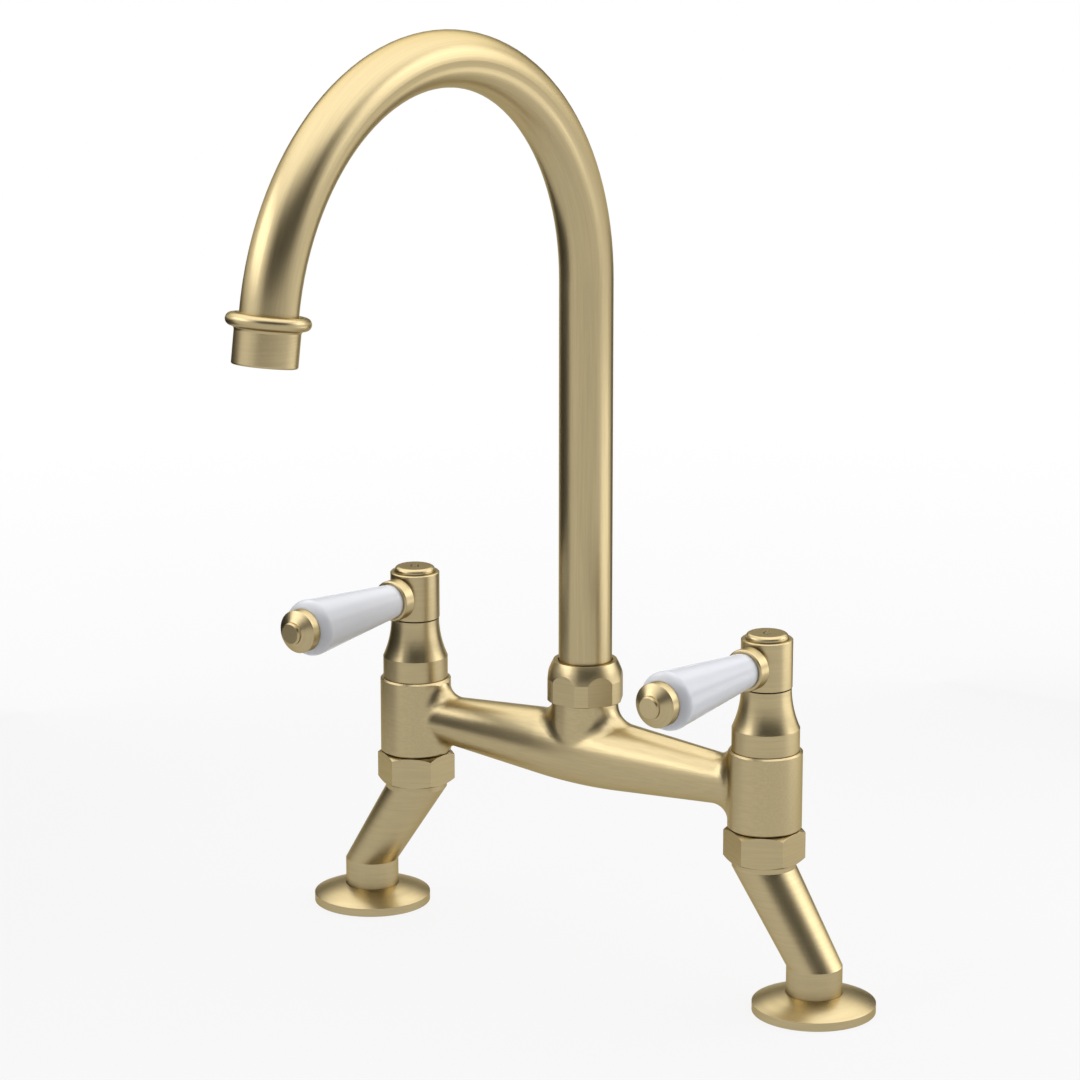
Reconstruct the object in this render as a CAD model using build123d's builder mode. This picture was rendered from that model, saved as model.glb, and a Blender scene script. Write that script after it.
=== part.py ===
"""Deck-mounted bridge kitchen mixer tap with two quarter-turn levers and a swivelling swan-neck spout.

Millimetres, +Z up. The origin lies on the deck midway between the two feet, under the spout's swivel axis.
+X points to the cold side, and the spout and the closed levers point along -Y, towards the user.
"""
import os
from math import cos, radians, sin, sqrt, tan

from build123d import *

# Layout
valve_spacing = 178.6
foot_offset = 24.9
leg_height = 58.7

# Union between each leg and the bridge
union_nut_flats = 28.7
union_nut_height = 13.2
union_nut_chamfer = 1.3
union_gap = 0.4
union_nipple_radius = 11.6
union_lip = 2.4
union_ring_radius = 11.2
union_ring_thickness = 1.5
union_washer_thickness = 1.4

# Cranked leg
leg_neck_radius = 13.05
leg_neck_height = 2.4
leg_foot_radius = 11.35
leg_collar_height = 19.0
leg_bore_radius = 6.2
leg_spigot_radius = 8.4
inlet_radius = 7.5
inlet_depth = 13.0

# Deck flange and the seal under it
flange_radius = 25.0
flange_rim = 3.5
flange_crown = 7.6
flange_bulge = 0.5
seal_inner_radius = 15.0
seal_outer_radius = 21.0
seal_thickness = 2.0

# Bridge casting
valve_body_radius = 15.0
valve_body_height = 32.6
valve_body_rim = 0.7
arm_end_radius = 9.8
arm_taper = 4.4
arm_crown_half = 20.0
arm_blend = 8.5
boss_radius = 13.7
boss_height = 21.7
boss_blend = 9.5
waterway_radius = 5.4
chamber_radius = 10.2
chamber_floor = 9.6
chamber_inlet_radius = 6.2

# Ceramic disc cartridge
seat_seal_thickness = 1.6
cartridge_radius = 9.9
cartridge_flange_radius = 12.4
cartridge_flange_height = 2.0
cartridge_thread_radius = 9.0
cartridge_thread_height = 7.0
cartridge_neck_radius = 6.8
cartridge_wall = 2.1
cartridge_ring_depth = 1.6
cartridge_ring_height = 2.2
cartridge_ring_drop = 3.0
window_radius = 2.6
disc_thickness = 2.8
disc_port_radius = 2.1
disc_port_circle = 4.2
disc_slot_depth = 1.1

# Spindle
spindle_radius = 4.0
spindle_flange_height = 2.2
spindle_tongue = 3.0
spindle_square = 5.6
spindle_square_height = 12.0
spindle_ring_depth = 1.0
spindle_ring_height = 1.8
circlip_radius = 5.6
circlip_thickness = 0.8

# Bell shroud
shroud_radius = 13.7
shroud_band_height = 9.1
shroud_neck_radius = 10.15
shroud_height = 25.6

# Lever hub, screw and index cap
hub_radius = 10.4
hub_height = 19.7
hub_gap = 0.6
hub_chamfer = 0.4
hub_web = 1.4
hub_boss_radius = 6.0
hub_boss_reach = 11.3
cap_radius = 8.6
cap_rise = 2.25
cap_seat_depth = 2.6
cap_round = 1.7
screw_radius = 1.9
screw_length = 9.0
screw_head_radius = 3.5
screw_head_height = 2.4

# Lever
stud_radius = 3.0
stud_insertion = 5.2
collar_radius = 8.6
collar_length = 5.6
collar_round = 0.8
grip_insertion = 0.9
grip_inner_radius = 7.05
grip_length = 57.2
grip_taper = 5.1
grip_round = 4.5
end_cap_radius = 8.9
end_cap_band = 4.3
end_cap_cone = 2.6
end_cap_chamfer = 0.25
button_radius = 4.65
button_height = 1.8
button_chamfer = 0.6

# Swan-neck spout
tube_radius = 11.0
tube_wall = 1.2
column_height = 285.5
arc_radius = 98.3
arc_angle = 170.9
ferrule_flange_radius = 12.6
ferrule_flange_height = 2.6
ferrule_sleeve_height = 12.0
ferrule_bore_radius = 6.6
spigot_radius = 9.4
spigot_length = 17.0
spigot_ring_depth = 1.4
spigot_ring_height = 2.0
spigot_lower_ring = 3.4
spigot_upper_ring = 9.4
glide_thickness = 0.8

# Spout nut
spout_nut_radius = 16.0
spout_nut_flats = 30.1
spout_nut_height = 16.8
spout_nut_band = 9.3
spout_nut_face_radius = 13.1
spout_nut_bulge = 0.3
spout_nut_chamfer = 0.3
spout_nut_lip = 4.4
spout_nipple_radius = 13.3

# Nozzle and aerator
bead_radius = 15.9
bead_round = 2.5
bead_blend = 1.4
nozzle_radius = 12.35
nozzle_length = 18.9
nozzle_socket = 3.6
nozzle_round = 0.8
aerator_radius = 11.0
aerator_depth = 10.5
aerator_wall = 1.3
aerator_seal_thickness = 1.5
screen_thickness = 1.6
screen_hole_radius = 1.1
screen_pitch = 2.6
screen_rows = 5

# Clearances
slip = 0.1
running = 0.06
air = 0.35

# Heights worked out from the deck up
body_bottom = leg_height + union_nut_height + union_gap
union_ring_bottom = leg_height + union_lip
union_washer_bottom = union_ring_bottom + union_ring_thickness
union_face = union_washer_bottom + union_washer_thickness
union_nipple_length = body_bottom - union_face
leg_spigot_height = union_face - leg_height - slip
body_top = body_bottom + valve_body_height
bridge_axis = body_bottom + valve_body_height / 2
boss_top = bridge_axis + boss_height
seat_height = body_bottom + chamber_floor
disc_bottom = seat_height + seat_seal_thickness
disc_joint = disc_bottom + disc_thickness
disc_top = disc_joint + disc_thickness
cavity_top = disc_top + spindle_flange_height + slip
cavity_radius = cartridge_radius - cartridge_wall
shroud_bottom = body_top + slip
shroud_top = shroud_bottom + shroud_height
neck_top = shroud_top - circlip_thickness - 2 * slip
hub_bottom = shroud_top + hub_gap
hub_top = hub_bottom + hub_height
lever_height = hub_bottom + hub_height / 2
square_top = hub_bottom + spindle_square_height
web_top = square_top + slip + hub_web
cap_seat = hub_top - cap_seat_depth
ferrule_seat = boss_top + spout_nut_height - spout_nut_lip - glide_thickness - ferrule_flange_height
tube_bottom = ferrule_seat + ferrule_flange_height
nut_bottom = boss_top + union_gap / 2
nut_top = nut_bottom + spout_nut_height
tube_bore = tube_radius - tube_wall

SIDES = (("hot", -1), ("cold", 1))


def turning_plane(x=0.0):
    """Plane through a vertical axis at x, with radius along its first direction and height along its second."""
    return Plane((x, 0, 0), x_dir=(1, 0, 0), z_dir=(0, -1, 0))


def upright(x=0.0):
    """Vertical axis at x."""
    return Axis((x, 0, 0), (0, 0, 1))


def keep(piece, name):
    """Label a finished piece and write it as its own file."""
    piece.label = name
    export_step(piece, f"parts/{name}.step")


def ring(name, inner, outer, bottom, height, x=0.0):
    """Plain washer or seal about the vertical axis at x."""
    with BuildPart() as washer:
        with BuildSketch(Plane((x, 0, bottom))):
            Circle(outer)
            Circle(inner, mode=Mode.SUBTRACT)
        extrude(amount=height)
    keep(washer.part, name)


def bridge_body():
    """Casting: two valve bodies and a spout boss joined by tapered arms, bored through for the water."""
    arm_end = valve_spacing / 2
    wall = arm_end - valve_body_radius
    slope = tan(radians(arm_taper))
    crown_edge = arm_end_radius + (wall - arm_crown_half) * slope
    crown = crown_edge + arm_crown_half * tan(radians(arm_taper) / 2)
    end_radius = arm_end_radius - valve_body_radius * slope
    arms_plane = Plane((0, 0, bridge_axis), x_dir=(1, 0, 0), z_dir=(0, -1, 0))
    with BuildPart() as body:
        with BuildSketch(arms_plane):
            with BuildLine():
                Line((-arm_end, 0), (-arm_end, end_radius))
                Line((-arm_end, end_radius), (-arm_crown_half, crown_edge))
                ThreePointArc((-arm_crown_half, crown_edge), (0, crown), (arm_crown_half, crown_edge))
                Line((arm_crown_half, crown_edge), (arm_end, end_radius))
                Line((arm_end, end_radius), (arm_end, 0))
                Line((arm_end, 0), (-arm_end, 0))
            make_face()
        revolve(axis=Axis((0, 0, bridge_axis), (1, 0, 0)))
        # Valve bodies are cast over length, blended into the arms, then faced and bevelled on a lathe
        with BuildSketch(Plane.XY.offset(bridge_axis)):
            with Locations((-arm_end, 0), (arm_end, 0)):
                Circle(valve_body_radius)
        extrude(amount=valve_body_height / 2 + arm_blend, both=True)
        seams = body.edges(Select.NEW).filter_by(
            lambda e: body_bottom < e.center().Z < body_top and e.geom_type != GeomType.LINE)
        fillet(seams, arm_blend)
        split(bisect_by=Plane.XY.offset(body_top), keep=Keep.BOTTOM)
        split(bisect_by=Plane.XY.offset(body_bottom), keep=Keep.TOP)
        for x in (-arm_end, arm_end):
            inner = valve_body_radius - valve_body_rim
            outer = valve_body_radius + valve_body_rim
            with BuildSketch(turning_plane(x)):
                with BuildLine():
                    Polyline((inner, body_top), (outer, body_top), (outer, body_top - 2 * valve_body_rim), close=True)
                make_face()
                with BuildLine():
                    Polyline((inner, body_bottom), (outer, body_bottom), (outer, body_bottom + 2 * valve_body_rim),
                             close=True)
                make_face()
            revolve(axis=upright(x), mode=Mode.SUBTRACT)
        with BuildSketch(Plane.XY.offset(bridge_axis)):
            Circle(boss_radius)
        extrude(amount=boss_height)
        boss_seam = body.edges(Select.NEW).filter_by(lambda e: e.center().Z < boss_top - slip)
        fillet(boss_seam, boss_blend)
        # Nipples for the leg unions and the spout nut
        with BuildSketch(Plane.XY.offset(body_bottom)):
            with Locations((-arm_end, 0), (arm_end, 0)):
                Circle(union_nipple_radius)
        extrude(amount=-union_nipple_length)
        with BuildSketch(Plane.XY.offset(boss_top)):
            Circle(spout_nipple_radius)
        extrude(amount=ferrule_seat - boss_top)
        # Valve chambers, their inlets, the cross bore and the spout socket
        with BuildSketch(Plane.XY.offset(seat_height)):
            with Locations((-arm_end, 0), (arm_end, 0)):
                Circle(chamber_radius)
        extrude(until=Until.LAST, mode=Mode.SUBTRACT)
        with BuildSketch(Plane.XY.offset(body_bottom - union_nipple_length)):
            with Locations((-arm_end, 0), (arm_end, 0)):
                Circle(chamber_inlet_radius)
        extrude(amount=union_nipple_length + chamber_floor, mode=Mode.SUBTRACT)
        with BuildSketch(Plane.YZ.offset(-arm_end)):
            with Locations((0, bridge_axis)):
                Circle(waterway_radius)
        extrude(amount=2 * arm_end, mode=Mode.SUBTRACT)
        with BuildSketch(Plane.XY.offset(ferrule_seat)):
            Circle(spigot_radius + running)
        extrude(amount=-spigot_length - air, mode=Mode.SUBTRACT)
        with BuildSketch(Plane.XY.offset(bridge_axis)):
            Circle(ferrule_bore_radius)
        extrude(amount=boss_height, mode=Mode.SUBTRACT)
    keep(body.part, "bridge_body")


def leg(side, x, foot):
    """Cranked hollow leg: spigot, short neck, oblique taper and the collar that stands in the flange."""
    bend_top = leg_height - leg_neck_height
    with BuildPart() as tube:
        with BuildSketch(Plane((x, 0, leg_height))):
            Circle(leg_spigot_radius)
        extrude(amount=leg_spigot_height)
        with BuildSketch(Plane((x, 0, bend_top))):
            Circle(leg_neck_radius)
        extrude(amount=leg_neck_height)
        with BuildSketch(Plane((x, 0, bend_top))):
            Circle(leg_neck_radius)
        with BuildSketch(Plane((foot, 0, leg_collar_height))):
            Circle(leg_foot_radius)
        loft()
        with BuildSketch(Plane((foot, 0, 0))):
            Circle(leg_foot_radius)
        extrude(amount=leg_collar_height)
        with BuildSketch(Plane((x, 0, bend_top))):
            Circle(leg_bore_radius)
        with BuildSketch(Plane((foot, 0, leg_collar_height))):
            Circle(leg_bore_radius)
        loft(mode=Mode.SUBTRACT)
        with BuildSketch(Plane((x, 0, bend_top))):
            Circle(leg_bore_radius)
        extrude(amount=leg_neck_height + leg_spigot_height, mode=Mode.SUBTRACT)
        with BuildSketch(Plane((foot, 0, 0))):
            Circle(leg_bore_radius)
        extrude(amount=leg_collar_height, mode=Mode.SUBTRACT)
        with BuildSketch(Plane((foot, 0, 0))):
            Circle(inlet_radius)
        extrude(amount=inlet_depth, mode=Mode.SUBTRACT)
    keep(tube.part, f"{side}_leg")


def flange(side, foot):
    """Domed deck flange that slides on the leg's collar, with a recess for its seal."""
    bore = leg_foot_radius + slip
    middle = (flange_radius + bore) / 2
    with BuildPart() as plate:
        with BuildSketch(turning_plane(foot)):
            with BuildLine():
                Line((bore, 0), (bore, flange_crown))
                ThreePointArc((bore, flange_crown), (middle, (flange_crown + flange_rim) / 2 + flange_bulge),
                              (flange_radius, flange_rim))
                Line((flange_radius, flange_rim), (flange_radius, 0))
                Line((flange_radius, 0), (bore, 0))
            make_face()
        revolve(axis=upright(foot))
        with BuildSketch(Plane((foot, 0, 0))):
            Circle(seal_outer_radius + slip)
            Circle(seal_inner_radius - slip, mode=Mode.SUBTRACT)
        extrude(amount=seal_thickness, mode=Mode.SUBTRACT)
    keep(plate.part, f"{side}_flange")
    ring(f"{side}_flange_seal", seal_inner_radius, seal_outer_radius, 0, seal_thickness, foot)


def union(side, x):
    """Captive hexagon nut, with the split ring that it pulls on and the washer that the ring squeezes."""
    corner = union_nut_flats / sqrt(3)
    with BuildPart() as nut:
        with BuildSketch(Plane((x, 0, leg_height))):
            RegularPolygon(corner, 6, rotation=30)
        extrude(amount=union_nut_height)
        # The turned outline bevels the corners top and bottom
        with BuildSketch(turning_plane(x)):
            with BuildLine():
                flat = union_nut_flats / 2
                top = leg_height + union_nut_height
                Polyline((0, leg_height), (flat - slip, leg_height),
                         (corner, leg_height + union_nut_chamfer), (corner, top - union_nut_chamfer),
                         (flat - slip, top), (0, top), close=True)
            make_face()
        revolve(axis=upright(x), mode=Mode.INTERSECT)
        with BuildSketch(Plane((x, 0, leg_height))):
            Circle(leg_spigot_radius + slip)
        extrude(amount=union_lip, mode=Mode.SUBTRACT)
        with BuildSketch(Plane((x, 0, leg_height + union_lip))):
            Circle(union_nipple_radius + slip)
        extrude(amount=union_nut_height - union_lip, mode=Mode.SUBTRACT)
    keep(nut.part, f"{side}_union_nut")
    ring(f"{side}_union_ring", leg_spigot_radius, union_ring_radius, union_ring_bottom, union_ring_thickness, x)
    ring(f"{side}_union_washer", leg_spigot_radius, union_ring_radius,
         union_washer_bottom, union_washer_thickness, x)


def cartridge(side, x):
    """Brass cartridge with its seals and the two ceramic discs, shown shut: the ports stand a quarter turn apart."""
    thread_top = body_top + cartridge_flange_height + cartridge_thread_height
    groove_bottom = body_top - cartridge_ring_drop - cartridge_ring_height
    with BuildPart() as shell:
        with BuildSketch(turning_plane(x)):
            with BuildLine():
                Polyline((cavity_radius, disc_bottom), (cartridge_radius, disc_bottom),
                         (cartridge_radius, body_top), (cartridge_flange_radius, body_top),
                         (cartridge_flange_radius, body_top + cartridge_flange_height),
                         (cartridge_thread_radius, body_top + cartridge_flange_height),
                         (cartridge_thread_radius, thread_top), (cartridge_neck_radius, thread_top),
                         (cartridge_neck_radius, neck_top), (spindle_radius + running, neck_top),
                         (spindle_radius + running, cavity_top), (cavity_radius, cavity_top), close=True)
            make_face()
        revolve(axis=upright(x))
        with BuildSketch(Plane((x, 0, groove_bottom))):
            Circle(cartridge_radius)
            Circle(cartridge_radius - cartridge_ring_depth, mode=Mode.SUBTRACT)
        extrude(amount=cartridge_ring_height, mode=Mode.SUBTRACT)
        with BuildSketch(Plane.YZ.offset(x - cartridge_radius)):
            with Locations((0, disc_top)):
                Circle(window_radius)
        extrude(amount=2 * cartridge_radius, mode=Mode.SUBTRACT)
    keep(shell.part, f"{side}_cartridge")
    ring(f"{side}_cartridge_o_ring", cartridge_radius - cartridge_ring_depth, chamber_radius,
         groove_bottom, cartridge_ring_height, x)
    ring(f"{side}_seat_seal", chamber_inlet_radius, cartridge_radius, seat_height, seat_seal_thickness, x)
    with BuildPart() as fixed_disc:
        with BuildSketch(Plane((x, 0, disc_bottom))):
            Circle(cavity_radius)
            with PolarLocations(disc_port_circle, 2):
                Circle(disc_port_radius, mode=Mode.SUBTRACT)
        extrude(amount=disc_thickness)
    keep(fixed_disc.part, f"{side}_fixed_disc")
    with BuildPart() as moving_disc:
        with BuildSketch(Plane((x, 0, disc_joint))):
            Circle(cavity_radius - air)
            with PolarLocations(disc_port_circle, 2, start_angle=90):
                Circle(disc_port_radius, mode=Mode.SUBTRACT)
        extrude(amount=disc_thickness)
        with BuildSketch(Plane((x, 0, disc_top))):
            Rectangle(2 * cavity_radius, spindle_tongue + 2 * slip)
        extrude(amount=-disc_slot_depth, mode=Mode.SUBTRACT)
    keep(moving_disc.part, f"{side}_moving_disc")


def spindle(side, x):
    """Spindle whose tongue turns the moving disc, with its seal, its circlip and the square that carries the hub."""
    seal_bottom = (cavity_top + neck_top) / 2
    flange_edge = cavity_radius - air
    with BuildPart() as stem:
        with BuildSketch(Plane((x, 0, disc_top))):
            Circle(flange_edge)
        extrude(amount=spindle_flange_height)
        with BuildSketch(Plane((x, 0, disc_top))):
            Rectangle(2 * (flange_edge - slip), spindle_tongue)
        extrude(amount=slip - disc_slot_depth)
        with BuildSketch(Plane((x, 0, disc_top))):
            Circle(spindle_radius)
        extrude(amount=hub_bottom - disc_top)
        with BuildSketch(Plane((x, 0, hub_bottom))):
            Rectangle(spindle_square, spindle_square)
        extrude(amount=spindle_square_height)
        with BuildSketch(Plane((x, 0, seal_bottom))):
            Circle(spindle_radius)
            Circle(spindle_radius - spindle_ring_depth, mode=Mode.SUBTRACT)
        extrude(amount=spindle_ring_height, mode=Mode.SUBTRACT)
        with BuildSketch(Plane((x, 0, neck_top + slip))):
            Circle(spindle_radius)
            Circle(spindle_radius - circlip_thickness, mode=Mode.SUBTRACT)
        extrude(amount=circlip_thickness, mode=Mode.SUBTRACT)
        with BuildSketch(Plane((x, 0, square_top))):
            Circle(screw_radius)
        extrude(amount=-screw_length, mode=Mode.SUBTRACT)
    keep(stem.part, f"{side}_spindle")
    ring(f"{side}_spindle_o_ring", spindle_radius - spindle_ring_depth, spindle_radius,
         seal_bottom, spindle_ring_height, x)
    with BuildPart() as circlip:
        with BuildSketch(Plane((x, 0, neck_top + slip))):
            Circle(circlip_radius)
            Circle(spindle_radius - circlip_thickness, mode=Mode.SUBTRACT)
            with Locations((0, circlip_radius)):
                Rectangle(spindle_radius, 2 * circlip_radius - spindle_radius, mode=Mode.SUBTRACT)
        extrude(amount=circlip_thickness)
    keep(circlip.part, f"{side}_circlip")


def shroud(side, x):
    """Bell shroud: a plain band, then a hollow curve up to the neck. It screws on the cartridge's thread."""
    band_top = shroud_bottom + shroud_band_height
    rise = shroud_top - band_top
    step = shroud_radius - shroud_neck_radius
    curve = (rise**2 + step**2) / (2 * step)
    thread_bottom = body_top + cartridge_flange_height + slip
    thread_top = thread_bottom + cartridge_thread_height
    half = rise / 2
    middle = shroud_neck_radius + curve - sqrt(curve**2 - half**2)
    with BuildPart() as bell:
        with BuildSketch(turning_plane(x)):
            with BuildLine():
                skirt = cartridge_flange_radius + slip
                grip = cartridge_thread_radius + slip
                neck = cartridge_neck_radius + air
                Polyline((shroud_neck_radius, shroud_top), (neck, shroud_top), (neck, thread_top),
                         (grip, thread_top), (grip, thread_bottom), (skirt, thread_bottom),
                         (skirt, shroud_bottom), (shroud_radius, shroud_bottom), (shroud_radius, band_top))
                ThreePointArc((shroud_radius, band_top), (middle, band_top + half), (shroud_neck_radius, shroud_top))
            make_face()
        revolve(axis=upright(x))
    keep(bell.part, f"{side}_shroud")


def lever_plane(x):
    """Plane along a lever: distance from the valve axis along its first direction, radius along its second."""
    return Plane((x, 0, lever_height), x_dir=(0, -1, 0), z_dir=(-1, 0, 0))


def lever(side, x):
    """Hub on the spindle's square, held by a screw under the index cap, and the ceramic lever on its stud."""
    along = Axis((x, 0, lever_height), (0, -1, 0))
    face = Plane((x, 0, lever_height), x_dir=(1, 0, 0), z_dir=(0, -1, 0))
    with BuildPart() as hub:
        with BuildSketch(Plane((x, 0, hub_bottom))):
            Circle(hub_radius)
        extrude(amount=hub_height)
        chamfer(hub.edges().group_by(Axis.Z)[-1], hub_chamfer)
        with BuildSketch(face):
            Circle(hub_boss_radius)
        extrude(amount=hub_boss_reach)
        with BuildSketch(Plane((x, 0, hub_bottom))):
            Rectangle(spindle_square + 2 * slip, spindle_square + 2 * slip)
        extrude(amount=spindle_square_height + slip, mode=Mode.SUBTRACT)
        with BuildSketch(Plane((x, 0, cap_seat))):
            Circle(cap_radius + slip)
        extrude(amount=cap_seat_depth, mode=Mode.SUBTRACT)
        with BuildSketch(Plane((x, 0, web_top))):
            Circle(screw_head_radius + air)
        extrude(amount=cap_seat - web_top, mode=Mode.SUBTRACT)
        with BuildSketch(Plane((x, 0, square_top))):
            Circle(screw_radius + slip)
        extrude(amount=web_top - square_top, mode=Mode.SUBTRACT)
        with BuildSketch(face.offset(hub_boss_reach)):
            Circle(stud_radius)
        extrude(amount=-stud_insertion, mode=Mode.SUBTRACT)
    keep(hub.part, f"{side}_lever_hub")

    with BuildPart() as screw:
        with BuildSketch(Plane((x, 0, web_top))):
            Circle(screw_head_radius)
        extrude(amount=screw_head_height)
        with BuildSketch(Plane((x, 0, web_top + screw_head_height))):
            RegularPolygon(screw_radius, 6)
        extrude(amount=-screw_head_height / 2, mode=Mode.SUBTRACT)
        with BuildSketch(Plane((x, 0, web_top))):
            Circle(screw_radius)
        extrude(amount=-screw_length)
    keep(screw.part, f"{side}_hub_screw")

    with BuildPart() as cap:
        with BuildSketch(Plane((x, 0, cap_seat))):
            Circle(cap_radius)
        extrude(amount=cap_seat_depth + cap_rise)
        fillet(cap.edges().group_by(Axis.Z)[-1], cap_round)
    keep(cap.part, f"{side}_index_cap")

    collar_end = hub_boss_reach + collar_length
    grip_start = collar_end - grip_insertion
    grip_end = grip_start + grip_length
    grip_edge = grip_inner_radius + grip_length * tan(radians(grip_taper))
    stud_end = grip_end + end_cap_band
    with BuildPart() as stud:
        with BuildSketch(face.offset(hub_boss_reach - stud_insertion)):
            Circle(stud_radius)
        extrude(amount=stud_end - hub_boss_reach + stud_insertion)
    keep(stud.part, f"{side}_lever_stud")

    with BuildPart() as collar:
        with BuildSketch(face.offset(hub_boss_reach)):
            Circle(collar_radius)
        extrude(amount=collar_length)
        fillet(collar.edges().group_by(Axis.Y)[0], collar_round)
        with BuildSketch(face.offset(grip_start)):
            Circle(grip_inner_radius + grip_insertion * tan(radians(grip_taper)) + slip)
        extrude(amount=grip_insertion, mode=Mode.SUBTRACT)
        with BuildSketch(face.offset(hub_boss_reach)):
            Circle(stud_radius)
        extrude(amount=collar_length, mode=Mode.SUBTRACT)
    keep(collar.part, f"{side}_lever_collar")

    with BuildPart() as grip:
        with BuildSketch(lever_plane(x)) as outline:
            with BuildLine():
                Polyline((grip_start, stud_radius + slip), (grip_start, grip_inner_radius), (grip_end, grip_edge),
                         (grip_end, stud_radius + slip), close=True)
            make_face()
            fillet(outline.vertices().group_by(Axis.X)[-1].sort_by(Axis.Y)[-1], grip_round)
        revolve(axis=along)
    keep(grip.part, f"{side}_lever_grip")

    with BuildPart() as end_cap:
        with BuildSketch(lever_plane(x)):
            with BuildLine():
                band_end = grip_end + end_cap_band
                cone_end = band_end + end_cap_cone
                button_end = cone_end + button_height
                Polyline((grip_end, stud_radius), (grip_end, end_cap_radius),
                         (band_end - end_cap_chamfer, end_cap_radius), (band_end, end_cap_radius - end_cap_chamfer),
                         (cone_end, button_radius), (button_end - button_chamfer, button_radius),
                         (button_end, button_radius - button_chamfer), (button_end, 0), (stud_end, 0),
                         (stud_end, stud_radius), close=True)
            make_face()
        revolve(axis=along)
    keep(end_cap.part, f"{side}_lever_end_cap")


def spout_fitting():
    """Ferrule brazed in the column's foot, its O-rings, the glide ring over it and the nut that holds it down."""
    spigot_bottom = ferrule_seat - spigot_length
    groove_floor = spigot_radius - spigot_ring_depth
    grooves = {"lower": spigot_bottom + spigot_lower_ring, "upper": spigot_bottom + spigot_upper_ring}
    with BuildPart() as ferrule:
        with BuildSketch(turning_plane()):
            with BuildLine():
                sleeve_top = tube_bottom + ferrule_sleeve_height
                Polyline((ferrule_bore_radius, spigot_bottom), (spigot_radius, spigot_bottom),
                         (spigot_radius, ferrule_seat), (ferrule_flange_radius, ferrule_seat),
                         (ferrule_flange_radius, tube_bottom), (tube_bore, tube_bottom), (tube_bore, sleeve_top),
                         (ferrule_bore_radius, sleeve_top), close=True)
            make_face()
        revolve(axis=upright())
        for bottom in grooves.values():
            with BuildSketch(Plane.XY.offset(bottom)):
                Circle(spigot_radius)
                Circle(groove_floor, mode=Mode.SUBTRACT)
            extrude(amount=spigot_ring_height, mode=Mode.SUBTRACT)
    keep(ferrule.part, "spout_ferrule")

    for level, bottom in grooves.items():
        ring(f"spout_{level}_o_ring", groove_floor, spigot_radius, bottom, spigot_ring_height)
    ring("spout_glide_ring", tube_radius + air, ferrule_flange_radius, tube_bottom, glide_thickness)

    lip_bottom = tube_bottom + glide_thickness
    band_top = nut_bottom + spout_nut_band
    shoulder = ((spout_nut_radius + spout_nut_face_radius) / 2 + spout_nut_bulge, (band_top + nut_top) / 2)
    with BuildPart() as nut:
        with BuildSketch(turning_plane()):
            with BuildLine():
                hole = tube_radius + air
                thread = spout_nipple_radius + slip
                Polyline((spout_nut_face_radius, nut_top), (hole, nut_top), (hole, lip_bottom), (thread, lip_bottom),
                         (thread, nut_bottom), (spout_nut_radius - spout_nut_chamfer, nut_bottom),
                         (spout_nut_radius, nut_bottom + spout_nut_chamfer), (spout_nut_radius, band_top))
                ThreePointArc((spout_nut_radius, band_top), shoulder, (spout_nut_face_radius, nut_top))
            make_face()
        revolve(axis=upright())
        # Six spanner flats
        with BuildSketch(Plane.XY.offset(nut_bottom)):
            Circle(2 * spout_nut_radius)
            RegularPolygon(spout_nut_flats / 2, 6, major_radius=False, rotation=0, mode=Mode.SUBTRACT)
        extrude(amount=spout_nut_height, mode=Mode.SUBTRACT)
    keep(nut.part, "spout_nut")


def spout():
    """Swan-neck tube: a straight column, then one long bend, and a short end that the nozzle is brazed on."""
    with BuildPart() as tube:
        with BuildLine(Plane.YZ):
            column = Line((0, tube_bottom), (0, column_height))
            bend = JernArc(start=column @ 1, tangent=column % 1, radius=arc_radius, arc_size=arc_angle)
            Line(bend @ 1, bend @ 1 + (bend % 1) * nozzle_socket)
        with BuildSketch(Plane.XY.offset(tube_bottom)):
            Circle(tube_radius)
            Circle(tube_bore, mode=Mode.SUBTRACT)
        sweep()
    keep(tube.part, "spout_tube")


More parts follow.
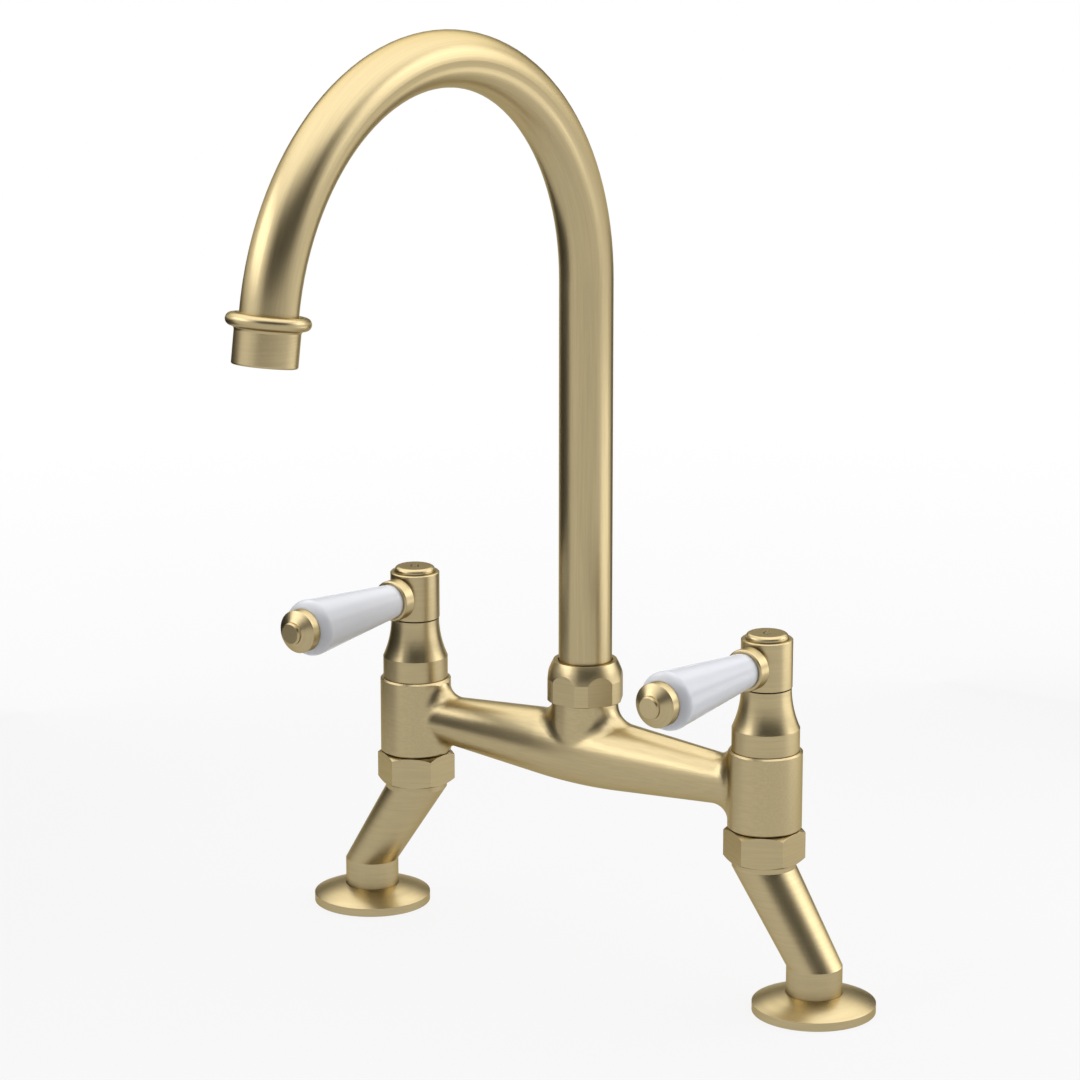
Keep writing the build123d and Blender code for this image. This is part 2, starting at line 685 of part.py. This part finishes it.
def outlet():
    """Nozzle with its bead, and the aerator cartridge that screws up into it."""
    lean = radians(arc_angle)
    tip = (0, arc_radius * (cos(lean) - 1), column_height + arc_radius * sin(lean))
    flow = (0, -sin(lean), cos(lean))
    down = Plane(tip, x_dir=(1, 0, 0), z_dir=flow)
    section = Plane(tip, x_dir=flow, z_dir=(1, 0, 0))
    aerator_top = nozzle_length - aerator_depth
    bead_centre = bead_radius - bead_round
    with BuildPart() as nozzle:
        with BuildSketch(section) as outline:
            with BuildLine():
                Polyline((bead_round, 0), (bead_round, nozzle_radius), (nozzle_length, nozzle_radius),
                         (nozzle_length, 0), close=True)
            make_face()
            fillet(outline.vertices().group_by(Axis.X)[-1].sort_by(Axis.Y)[-1], nozzle_round)
        revolve(axis=Axis(tip, flow))
        with BuildSketch(section):
            with Locations((bead_round, bead_centre)):
                Circle(bead_round)
        revolve(axis=Axis(tip, flow))
        fillet(nozzle.edges(Select.NEW).sort_by(Axis(tip, flow))[-1], bead_blend)
        with BuildSketch(down):
            Circle(tube_radius)
        extrude(amount=nozzle_socket, mode=Mode.SUBTRACT)
        with BuildSketch(down):
            Circle(tube_bore)
        extrude(amount=nozzle_length, mode=Mode.SUBTRACT)
        with BuildSketch(down.offset(aerator_top)):
            Circle(aerator_radius)
        extrude(amount=aerator_depth, mode=Mode.SUBTRACT)
    keep(nozzle.part, "spout_nozzle")

    inner = aerator_radius - aerator_wall
    seal_end = aerator_top + aerator_seal_thickness
    with BuildPart() as seal:
        with BuildSketch(down.offset(aerator_top)):
            Circle(aerator_radius)
            Circle(inner, mode=Mode.SUBTRACT)
        extrude(amount=aerator_seal_thickness)
    keep(seal.part, "aerator_seal")

    with BuildPart() as housing:
        with BuildSketch(down.offset(seal_end)):
            Circle(aerator_radius)
            Circle(inner, mode=Mode.SUBTRACT)
        extrude(amount=nozzle_length - nozzle_round - seal_end)
    keep(housing.part, "aerator_housing")

    with BuildPart() as screen:
        with BuildSketch(down.offset(nozzle_length - 2 * nozzle_round - screen_thickness)):
            Circle(inner)
            with HexLocations(screen_pitch / 2, screen_rows, screen_rows):
                RegularPolygon(screen_hole_radius, 6, mode=Mode.SUBTRACT)
        extrude(amount=screen_thickness)
    keep(screen.part, "aerator_screen")


os.makedirs("parts", exist_ok=True)
bridge_body()
for side, sign in SIDES:
    valve_x = sign * valve_spacing / 2
    foot_x = valve_x + sign * foot_offset
    leg(side, valve_x, foot_x)
    flange(side, foot_x)
    union(side, valve_x)
    cartridge(side, valve_x)
    spindle(side, valve_x)
    shroud(side, valve_x)
    lever(side, valve_x)
spout_fitting()
spout()
outlet()
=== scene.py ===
"""Bridge kitchen mixer tap in satin brass with porcelain levers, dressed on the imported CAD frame."""

import bpy
import numpy as np
from mathutils import Matrix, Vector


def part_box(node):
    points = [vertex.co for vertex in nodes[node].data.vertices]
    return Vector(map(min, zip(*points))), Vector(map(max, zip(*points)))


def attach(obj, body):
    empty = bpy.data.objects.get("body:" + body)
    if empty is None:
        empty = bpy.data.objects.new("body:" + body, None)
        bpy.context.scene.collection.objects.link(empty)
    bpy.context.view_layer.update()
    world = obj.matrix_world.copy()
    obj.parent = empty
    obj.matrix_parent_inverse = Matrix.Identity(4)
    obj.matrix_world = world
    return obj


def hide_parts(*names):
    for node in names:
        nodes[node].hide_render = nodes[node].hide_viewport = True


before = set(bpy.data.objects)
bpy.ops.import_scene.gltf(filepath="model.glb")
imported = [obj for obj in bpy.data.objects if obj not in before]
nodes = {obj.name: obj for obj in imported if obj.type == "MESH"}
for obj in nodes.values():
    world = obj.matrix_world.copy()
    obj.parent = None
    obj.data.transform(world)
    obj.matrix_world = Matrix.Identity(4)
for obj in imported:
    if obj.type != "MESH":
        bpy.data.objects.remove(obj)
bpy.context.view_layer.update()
sides = ("hot", "cold")


# Deck flanges.
# Each is a disc of brass turned on a lathe, with a short rim and a shallow domed face, then satin polished as it turns.
# A black rubber ring in its underside keeps water off the worktop.
def linear(code):
    """An sRGB hex colour as linear RGBA: each channel is c / 12.92 below 0.04045, else ((c + 0.055) / 1.055) ** 2.4."""
    c = np.array([int(code[i:i + 2], 16) for i in (1, 3, 5)]) / 255
    return (*np.where(c <= 0.04045, c / 12.92, ((c + 0.055) / 1.055) ** 2.4), 1.0)


def add(owner, kind, values=None, links=None, **settings):
    """Add a node of a kind, set its properties and socket values, and link its inputs from (node, output) pairs."""
    tree = owner.node_tree
    made = tree.nodes.new(kind)
    for name, value in settings.items():
        setattr(made, name, value)
    for name, value in (values or {}).items():
        made.inputs[name].default_value = value
    for name, (source, output) in (links or {}).items():
        tree.links.new(source.outputs[output], made.inputs[name])
    return made


def blank(name):
    """An empty node material."""
    material = bpy.data.materials.new(name)
    material.use_nodes = True
    material.node_tree.nodes.clear()
    return material


def dress(material, *names):
    """Give CAD nodes a material in their own slots."""
    for name in names:
        for place in nodes[name].material_slots:
            place.material = material


def both(*names):
    """The hot and the cold node of each name."""
    return [f"{side}_{name}" for side in sides for name in names]


# Brush lines are 0.8 mm apart, coarser than the real 0.1 mm so that they show, and run on for 25 times as far.
brush_spacing, brush_height, brush_run = 0.0008, 0.00005, 0.04
polish_radius = 0.00015
round_upright = (brush_run, brush_run, 1.0)
round_lever = (brush_run, 1.0, brush_run)
along_bridge = (brush_run, 1.0, 1.0)


def brush_lines(material, source, output):
    """Brush lines as noise, which follows a place that was stretched before."""
    return add(material, "ShaderNodeTexNoise", {"Scale": 1 / brush_spacing, "Detail": 3.0, "Roughness": 0.6},
               {"Vector": (source, output)})


def straight_lines(material, across):
    """Brush lines in the place times the factors across, so that they run on where a factor is small."""
    place = add(material, "ShaderNodeTexCoord")
    stretch = add(material, "ShaderNodeMapping", {"Scale": across}, {"Vector": (place, "Object")})
    return brush_lines(material, stretch, "Vector")


def brushed(material, lines):
    """Satin brass on a pattern of brush lines: a dull warm metal whose grain scatters a lamp into a broad soft glow.

    The lines streak the tone, change the roughness and tilt the surface a little. Corners are softened, as a polishing
    mop leaves them, so each edge picks up a thin bright line. The tint at a glancing angle keeps the metal brown at its
    rims, where a plain mirror would turn white.
    """
    streak = add(material, "ShaderNodeMapRange", {"From Min": 0.35, "From Max": 0.65}, {"Value": (lines, "Fac")})
    tone = add(material, "ShaderNodeMix", {6: linear("#b6a680"), 7: linear("#b0a07c")}, {0: (streak, "Result")},
               data_type="RGBA")
    rough = add(material, "ShaderNodeMapRange", {"To Min": 0.29, "To Max": 0.37}, {"Value": (lines, "Fac")})
    edge = add(material, "ShaderNodeBevel", {"Radius": polish_radius}, samples=6)
    tilt = add(material, "ShaderNodeBump", {"Strength": 0.5, "Distance": brush_height},
               {"Height": (lines, "Fac"), "Normal": (edge, "Normal")})
    metal = add(material, "ShaderNodeBsdfPrincipled", {"Metallic": 1.0, "Specular Tint": linear("#d5cbb0")},
                {"Base Color": (tone, 2), "Roughness": (rough, "Result"), "Normal": (tilt, "Normal")})
    add(material, "ShaderNodeOutputMaterial", {}, {"Surface": (metal, "BSDF")})


def speckle(material, size, detail=2.0):
    """Noise of about a size, fixed to the piece."""
    place = add(material, "ShaderNodeTexCoord")
    return add(material, "ShaderNodeTexNoise", {"Scale": 1 / size, "Detail": detail}, {"Vector": (place, "Object")})


def surface(material, grain, smoothest, roughest, values):
    """A surface with these values, whose roughness runs between two limits as its grain does."""
    rough = add(material, "ShaderNodeMapRange", {"To Min": smoothest, "To Max": roughest}, {"Value": (grain, "Fac")})
    skin = add(material, "ShaderNodeBsdfPrincipled", values, {"Roughness": (rough, "Result")})
    add(material, "ShaderNodeOutputMaterial", {}, {"Surface": (skin, "BSDF")})


turned_brass = blank("satin_brass_turned_upright")
brushed(turned_brass, straight_lines(turned_brass, round_upright))
dress(turned_brass, *both("flange"))

# Nitrile rubber looks almost black and dull, with a faint dusty bloom that breaks up its sheen.
rubber = blank("black_nitrile_rubber")
surface(rubber, speckle(rubber, 0.0015, detail=3.0), 0.5, 0.7, {"Base Color": linear("#1c1c1d"), "IOR": 1.52})
dress(rubber, *both("flange_seal"))

# Cranked legs.
# Drawn brass tube, cranked outwards and brushed round. Each foot is tapped from below for the supply: an inlet thread
# with a 1.337 mm pitch, cut up into the collar.
dress(turned_brass, *both("leg"))

# Unpolished brass is yellower and brighter than the satin outside, and the tool leaves fine rings that glint.
machined = blank("turned_yellow_brass")
surface(machined, straight_lines(machined, round_upright), 0.24, 0.36,
        {"Base Color": linear("#c8ac62"), "Metallic": 1.0})


def piece(name, points, faces, material, body):
    """A smooth mesh piece that rides on a body and takes the given finish in its material slot."""
    mesh = bpy.data.meshes.new(name)
    mesh.from_pydata(points.tolist(), [], faces)
    mesh.materials.append(material)
    mesh.shade_smooth()
    made = bpy.data.objects.new(name, mesh)
    bpy.context.collection.objects.link(made)
    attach(made, body)
    return made


def thread_ridge(low, radius, depth, pitch, turns):
    """A ridge in a hole: a triangle nine tenths of the pitch wide, carried round a helix and closed at both ends.

    At turn t its crest stands pitch * (t + 0.5) above the low end and depth inside the radius, and the depth fades to
    nothing over the first and last half turn. Its back is 0.05 mm in the wall.
    """
    steps_in_turn, half_wide, in_wall = 64, 0.45, 0.00005
    t = np.linspace(0, turns, turns * steps_in_turn + 1)
    fade = np.clip(np.minimum(t, turns - t) * 2, 0, 1)
    wall = np.full_like(t, radius + in_wall)
    reach = np.stack([wall, radius - depth * fade, wall], 1)
    height = low + pitch * (t[:, None] + 0.5 + np.array([-half_wide, 0, half_wide]))
    angle = 2 * np.pi * t[:, None]
    points = np.stack([reach * np.cos(angle), reach * np.sin(angle), height], -1)
    k = np.arange(t.size * 3).reshape(-1, 3)
    beside = np.roll(k, -1, axis=1)
    quads = np.stack([k[:-1], beside[:-1], beside[1:], k[1:]], -1).reshape(-1, 4)
    return points.reshape(-1, 3), quads.tolist() + [k[0, ::-1].tolist(), k[-1].tolist()]


for side in sides:
    low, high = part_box(f"{side}_flange")
    foot = np.array([(low.x + high.x) / 2, (low.y + high.y) / 2, 0])
    points, faces = thread_ridge(low=0.0008, radius=0.0075, depth=0.0006, pitch=0.001337, turns=8)
    piece(f"{side}_inlet_thread", points + foot, faces, machined, "base")

# Unions.
# Hexagon brass nuts, milled from bar and satin polished on the flats, pull each leg up to the bridge on a split ring
# and squeeze a rubber washer.
dress(turned_brass, *both("union_nut"))
dress(machined, *both("union_ring"))
dress(rubber, *both("union_washer"))

# Bridge casting.
# One brass casting, fettled and then linished along its length, so its brush lines run from valve to valve and catch
# the light along the arms.
cast_brass = blank("satin_brass_linished_casting")
brushed(cast_brass, straight_lines(cast_brass, along_bridge))
dress(cast_brass, "bridge_body")

# Valve cartridges.
# Turned brass bodies that hold two lapped alumina discs, with a steel circlip and rubber rings. None of these shows
# from outside.
dress(machined, *both("cartridge", "spindle"))
dress(rubber, *both("cartridge_o_ring", "seat_seal", "spindle_o_ring"))

# Lapped alumina is a cream white with a crisp, almost mirror sheen.
alumina = blank("lapped_alumina_ceramic")
surface(alumina, speckle(alumina, 0.0004), 0.12, 0.24, {"Base Color": linear("#eeeae0"), "IOR": 1.76})
dress(alumina, *both("fixed_disc", "moving_disc"))

# Stainless steel is a cool grey beside the brass, with rings from turning in its glow.
steel = blank("turned_stainless_steel")
surface(steel, straight_lines(steel, round_upright), 0.25, 0.4, {"Base Color": linear("#b9b8b5"), "Metallic": 1.0})
dress(steel, *both("circlip"))

# Bell shrouds.
# Turned and hollow-curved brass covers that screw down over the cartridges, satin polished on the lathe, so their
# brush lines run round them.
dress(turned_brass, *both("shroud"))

# Lever hubs and index caps.
# Brass hubs sit on the spindles' squares, each held by a steel screw under a push-in cap. The caps are stamped with a
# plain letter for hot or cold.
dress(turned_brass, *both("lever_hub"))
dress(steel, *both("hub_screw"))

# A letter's half width, half height, half stroke, depth and the width of its sloping sides. It is turned about the
# cap's axis as the photograph shows it.
letter_wide, letter_tall, letter_stroke, letter_depth, letter_ease = 0.0014, 0.0023, 0.00024, 0.00015, 0.0001
letter_turn = np.radians(36.8)


def bar_distance(u, v, start, end):
    """Distance of points to a straight bar of a letter."""
    (a, b), (c, d) = start, end
    run = np.clip(((u - a) * (c - a) + (v - b) * (d - b)) / ((c - a) ** 2 + (d - b) ** 2), 0, 1)
    return np.hypot(u - a - run * (c - a), v - b - run * (d - b))


def letter_h(u, v):
    """Distance to an H: two uprights and a bar between their middles."""
    w, h = letter_wide, letter_tall
    left, right = bar_distance(u, v, (-w, -h), (-w, h)), bar_distance(u, v, (w, -h), (w, h))
    return np.minimum(np.minimum(left, right), bar_distance(u, v, (-w, 0), (w, 0)))


def letter_c(u, v):
    """Distance to a C: the ellipse (u / wide)^2 + (v / tall)^2 = 1, open on the right over its middle six tenths."""
    gap, nowhere = 0.6, 1.0
    ring = np.abs(np.hypot(u / letter_wide, v / letter_tall) - 1) * letter_wide
    return np.where((u > 0) & (np.abs(v) < gap * letter_tall), nowhere, ring)


def lettered_cap(radius, low, high, edge, letter):
    """A cap turned about its axis, closed at both ends: 0.05 mm rings across the top, a quarter round, then the side.

    Each point of the top sinks by the letter's depth within half a stroke of the letter, and eases out beside it. The
    third result is one for a face in the letter and nought for the others.
    """
    ring_step, round_steps, spokes, in_letter = 0.00005, 13, 256, 0.2
    flat = np.arange(1, int((radius - edge) / ring_step)) * ring_step
    turn = np.linspace(0, np.pi / 2, round_steps)
    reach = np.concatenate([flat, radius - edge + edge * np.sin(turn), [radius]])[:, None]
    height = np.concatenate([np.full_like(flat, high), high - edge + edge * np.cos(turn), [low]])[:, None]
    angle = 2 * np.pi * np.arange(spokes) / spokes
    x, y = reach * np.cos(angle), reach * np.sin(angle)
    u = x * np.cos(letter_turn) + y * np.sin(letter_turn)
    v = y * np.cos(letter_turn) - x * np.sin(letter_turn)
    ease = np.clip((letter_stroke + letter_ease - letter(u, v)) / letter_ease, 0, 1)
    z = height - letter_depth * ease * ease * (3 - 2 * ease)
    points = np.concatenate([np.stack([x, y, z], -1).reshape(-1, 3), [(0, 0, z[0].mean()), (0, 0, low)]])
    k = np.arange(x.size).reshape(x.shape)
    beside = np.roll(k, -1, axis=1)
    quads = np.stack([k[:-1], k[1:], beside[1:], beside[:-1]], -1).reshape(-1, 4)
    top = np.stack([np.full(spokes, x.size), k[0], beside[0]], -1)
    under = np.stack([np.full(spokes, x.size + 1), beside[-1], k[-1]], -1)
    stamp = np.append(ease.ravel(), [ease[0].mean(), 0])
    sunk = np.concatenate([stamp[part].mean(1) > in_letter for part in (quads, top, under)])
    return points, quads.tolist() + top.tolist() + under.tolist(), sunk.astype(np.int32)


# The polishing mop doesn't reach down into a stamped letter, so its strokes stay rough and dull. Their dark brown
# colour is painted shade, standing in for the shade that falls in the sunk strokes.
letter_painted_shade = blank("stamped_brass_painted_shade")
surface(letter_painted_shade, speckle(letter_painted_shade, 0.0003), 0.5, 0.7, {"Base Color": linear("#5a5140"), "Metallic": 1.0})

cap_edge = 0.0017
for side, letter in (("hot", letter_h), ("cold", letter_c)):
    low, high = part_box(f"{side}_index_cap")
    middle = np.array([(low.x + high.x) / 2, (low.y + high.y) / 2, 0])
    points, faces, sunk = lettered_cap((high.x - low.x) / 2, low.z, high.z, cap_edge, letter)
    cap = piece(f"{side}_lettered_cap", points + middle, faces, turned_brass, f"{side}_lever")
    # The sunk faces of the letter take the dark painted shade.
    cap.data.materials.append(letter_painted_shade)
    cap.data.polygons.foreach_set("material_index", sunk)
    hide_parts(f"{side}_index_cap")

# Levers.
# Slip-cast white porcelain grips, glazed and fired, threaded on a steel stud between a turned brass collar and an end
# cap.
lever_brass = blank("satin_brass_turned_along_lever")
brushed(lever_brass, straight_lines(lever_brass, round_lever))
dress(lever_brass, *both("lever_collar", "lever_end_cap"))
dress(steel, *both("lever_stud"))

# The glaze gives a cold white that shades to grey-blue below, under a soft gleam that wavers where it pooled.
porcelain = blank("white_glazed_porcelain")
pool = speckle(porcelain, 0.012)
white = add(porcelain, "ShaderNodeMix", {6: linear("#e6e8ef"), 7: linear("#eaecf2")}, {0: (pool, "Fac")},
            data_type="RGBA")
wave = add(porcelain, "ShaderNodeBump", {"Strength": 0.05, "Distance": 0.0002}, {"Height": (pool, "Fac")})
glaze = add(porcelain, "ShaderNodeBsdfPrincipled", {"Roughness": 0.27, "IOR": 1.5},
            {"Base Color": (white, 2), "Normal": (wave, "Normal")})
add(porcelain, "ShaderNodeOutputMaterial", {}, {"Surface": (glaze, "BSDF")})
dress(porcelain, *both("lever_grip"))

# Spout fitting.
# A turned brass ferrule with two rubber rings turns in the bridge. A white acetal ring lets it glide under the nut,
# which is turned from round bar with six spanner flats.
dress(machined, "spout_ferrule")
dress(rubber, "spout_lower_o_ring", "spout_upper_o_ring")
dress(turned_brass, "spout_nut")

# Moulded acetal is a milky white with the soft, waxy sheen of a plastic.
acetal = blank("white_moulded_acetal")
surface(acetal, speckle(acetal, 0.002), 0.38, 0.5, {"Base Color": linear("#e9e8e3"), "IOR": 1.48})
dress(acetal, "spout_glide_ring")

# Swan-neck spout.
# Drawn 22 mm brass tube, bent cold and belt polished along its length, so the brush lines follow the bend: they lie at
# a steady distance from the upright through the bend's middle, and above it from the middle itself.
tube_brass = blank("satin_brass_drawn_tube")
bend_y, bend_z, tube_run = -0.0983, 0.2855, 0.03
place = add(tube_brass, "ShaderNodeTexCoord")
apart = add(tube_brass, "ShaderNodeSeparateXYZ", {}, {"Vector": (place, "Object")})
over = add(tube_brass, "ShaderNodeMath", {1: bend_z}, {0: (apart, "Z")}, operation="SUBTRACT")
rise = add(tube_brass, "ShaderNodeMath", {1: 0.0}, {0: (over, 0)}, operation="MAXIMUM")
out = add(tube_brass, "ShaderNodeMath", {1: bend_y}, {0: (apart, "Y")}, operation="SUBTRACT")
arm = add(tube_brass, "ShaderNodeCombineXYZ", {}, {"X": (out, 0), "Y": (rise, 0)})
far = add(tube_brass, "ShaderNodeVectorMath", {}, {0: (arm, 0)}, operation="LENGTH")
drift = add(tube_brass, "ShaderNodeMath", {1: tube_run}, {0: (apart, "Z")}, operation="MULTIPLY")
along = add(tube_brass, "ShaderNodeCombineXYZ", {}, {"X": (apart, "X"), "Y": (far, "Value"), "Z": (drift, 0)})
brushed(tube_brass, brush_lines(tube_brass, along, 0))
dress(tube_brass, "spout_tube")

# Nozzle and aerator.
# A turned brass nozzle with a bead, brazed on the tube. A white acetal aerator with its screen and rubber seal screws
# up into it.
dress(turned_brass, "spout_nozzle")
dress(rubber, "aerator_seal")
dress(acetal, "aerator_housing", "aerator_screen")

# Studio.
# A plain white sheet for a floor and white all round. One large soft box hangs overhead, and others stand at front left
# and right rear. Black felt hangs by the camera and behind, and stands at the left and the rear, to give the metal its
# dark sides.
floor_half = 40
floor_mesh = bpy.data.meshes.new("floor")
floor_mesh.from_pydata([(-floor_half, -floor_half, 0), (floor_half, -floor_half, 0), (floor_half, floor_half, 0),
                        (-floor_half, floor_half, 0)], [], [(0, 1, 2, 3)])
floor = bpy.data.objects.new("floor", floor_mesh)
bpy.context.collection.objects.link(floor)


def looked_at(owner):
    """One for a ray from the camera, a mirror or glass, and nought for light that falls on a matt surface."""
    path = add(owner, "ShaderNodeLightPath")
    two = add(owner, "ShaderNodeMath", {}, {0: (path, "Is Camera Ray"), 1: (path, "Is Glossy Ray")},
              operation="MAXIMUM")
    return add(owner, "ShaderNodeMath", {}, {0: (two, 0), 1: (path, "Is Transmission Ray")}, operation="MAXIMUM")


# Paper gives a white ground without a gleam. Round the tap it shows the light that falls on it, so it keeps a faint
# shadow, and a metre away it is plain white.
paper = blank("white_paper_sheet")
sheet = add(paper, "ShaderNodeBsdfDiffuse", {"Color": linear("#cdcdcd")})
white = add(paper, "ShaderNodeEmission", {"Color": (1, 1, 1, 1), "Strength": 1.0})
place = add(paper, "ShaderNodeTexCoord")
far = add(paper, "ShaderNodeVectorMath", {}, {0: (place, "Object")}, operation="LENGTH")
plain = add(paper, "ShaderNodeMapRange", {"From Min": 0.3, "From Max": 1.0, "To Min": 0.86, "To Max": 1.0},
            {"Value": (far, "Value")})
share = add(paper, "ShaderNodeMath", {}, {0: (looked_at(paper), 0), 1: (plain, "Result")}, operation="MULTIPLY")
mixed = add(paper, "ShaderNodeMixShader", {}, {"Fac": (share, 0), 1: (sheet, "BSDF"), 2: (white, "Emission")})
add(paper, "ShaderNodeOutputMaterial", {}, {"Surface": (mixed, "Shader")})
floor_mesh.materials.append(paper)

world = bpy.data.worlds.new("white_studio")
bpy.context.scene.world = world
world.use_nodes = True
world.node_tree.nodes.clear()
dim = add(world, "ShaderNodeBackground", {"Color": (1, 1, 1, 1), "Strength": 0.2})
pale = add(world, "ShaderNodeBackground", {"Color": (1, 1, 1, 1), "Strength": 1.0})
mixed = add(world, "ShaderNodeMixShader", {},
            {"Fac": (looked_at(world), 0), 1: (dim, "Background"), 2: (pale, "Background")})
add(world, "ShaderNodeOutputWorld", {}, {"Surface": (mixed, "Shader")})

lit_point = np.array([0, -0.06, 0.17])


def facing(azimuth, elevation, reach, target):
    """The place and turn of a lamp or camera that looks at a target from a reach away.

    The azimuth runs from the front towards the cold side. Its back points away from the target, and its right lies
    level.
    """
    a, e = np.radians([azimuth, elevation])
    back = np.array([np.sin(a) * np.cos(e), -np.cos(a) * np.cos(e), np.sin(e)])
    right = np.array([np.cos(a), np.sin(a), 0])
    turn = np.eye(4)
    turn[:3, :3] = np.stack([right, np.cross(back, right), back], 1)
    turn[:3, 3] = target + back * reach
    return Matrix(turn.tolist())


def soft_box(name, azimuth, elevation, reach, wide, tall, glow):
    """A rectangular lamp pointed at the tap.

    Its watts are its glow, where 1 is as bright as the white floor, times pi and its area.
    """
    lamp = bpy.data.lights.new(name, "AREA")
    lamp.shape = "RECTANGLE"
    lamp.size, lamp.size_y = wide, tall
    lamp.energy = glow * np.pi * wide * tall
    lit = bpy.data.objects.new(name, lamp)
    lit.matrix_world = facing(azimuth, elevation, reach, lit_point)
    lit.visible_camera = False
    bpy.context.collection.objects.link(lit)


soft_box("overhead", azimuth=217, elevation=75, reach=1.45, wide=3.0, tall=3.0, glow=1.3)
soft_box("front_left", azimuth=-45, elevation=29, reach=1.6, wide=1.45, tall=0.65, glow=2.5)
soft_box("right_rear", azimuth=138, elevation=24, reach=1.6, wide=1.1, tall=0.8, glow=2.2)
soft_box("right_rear_strip", azimuth=134, elevation=-10, reach=0.5, wide=0.42, tall=0.13, glow=1.4)

# Felt is seen only in the metal, as the dark bands that make it look round.
felt = blank("black_felt")
nap = add(felt, "ShaderNodeBsdfDiffuse", {"Color": linear("#3a3a3a")})
add(felt, "ShaderNodeOutputMaterial", {}, {"Surface": (nap, "BSDF")})


def hang_felt(name, radius, start, end, low, high):
    """A sheet of felt bent round the tap: points at a radius, from one azimuth to another and from low to high."""
    columns = 24
    bend = np.radians(np.linspace(start, end, columns))
    edge = np.column_stack([radius * np.sin(bend), -radius * np.cos(bend)])
    points = np.concatenate([np.column_stack([edge, np.full(columns, height)]) for height in (low, high)])
    k = np.arange(columns)
    quads = np.column_stack([k[1:], k[:-1], k[:-1] + columns, k[1:] + columns])
    mesh = bpy.data.meshes.new(name)
    mesh.from_pydata(points.tolist(), [], quads.tolist())
    mesh.materials.append(felt)
    hung = bpy.data.objects.new(name, mesh)
    hung.visible_camera = False
    bpy.context.collection.objects.link(hung)


hang_felt("felt_by_camera", radius=2.2, start=5, end=100, low=0.55, high=2.4)
hang_felt("felt_at_left", radius=0.45, start=255, end=322, low=0.0, high=0.3)
hang_felt("felt_at_rear", radius=0.45, start=163, end=192, low=0.0, high=0.24)
hang_felt("felt_behind", radius=2.2, start=190, end=250, low=0.3, high=1.1)

# Camera.
# It stands where the photograph was taken from, found by fitting the tap's own edges: a long lens on a square frame,
# aimed a little to the hot side of the tap's middle.
azimuth, elevation, distance = 36.78, 14.02, 1.64056
aim_aside, aim_height = -0.01862, 0.17764
focal_pixels, frame_pixels = 4019.2, 1080
turned = np.radians(azimuth)
target = np.array([aim_aside * np.cos(turned), aim_aside * np.sin(turned), aim_height])
lens = bpy.data.cameras.new("camera")
lens.sensor_width = 36.0
lens.lens = focal_pixels / frame_pixels * lens.sensor_width
camera = bpy.data.objects.new("camera", lens)
bpy.context.collection.objects.link(camera)
camera.matrix_world = facing(azimuth, elevation, distance, target)
bpy.context.scene.camera = camera
bpy.context.scene.view_settings.view_transform = "Standard"
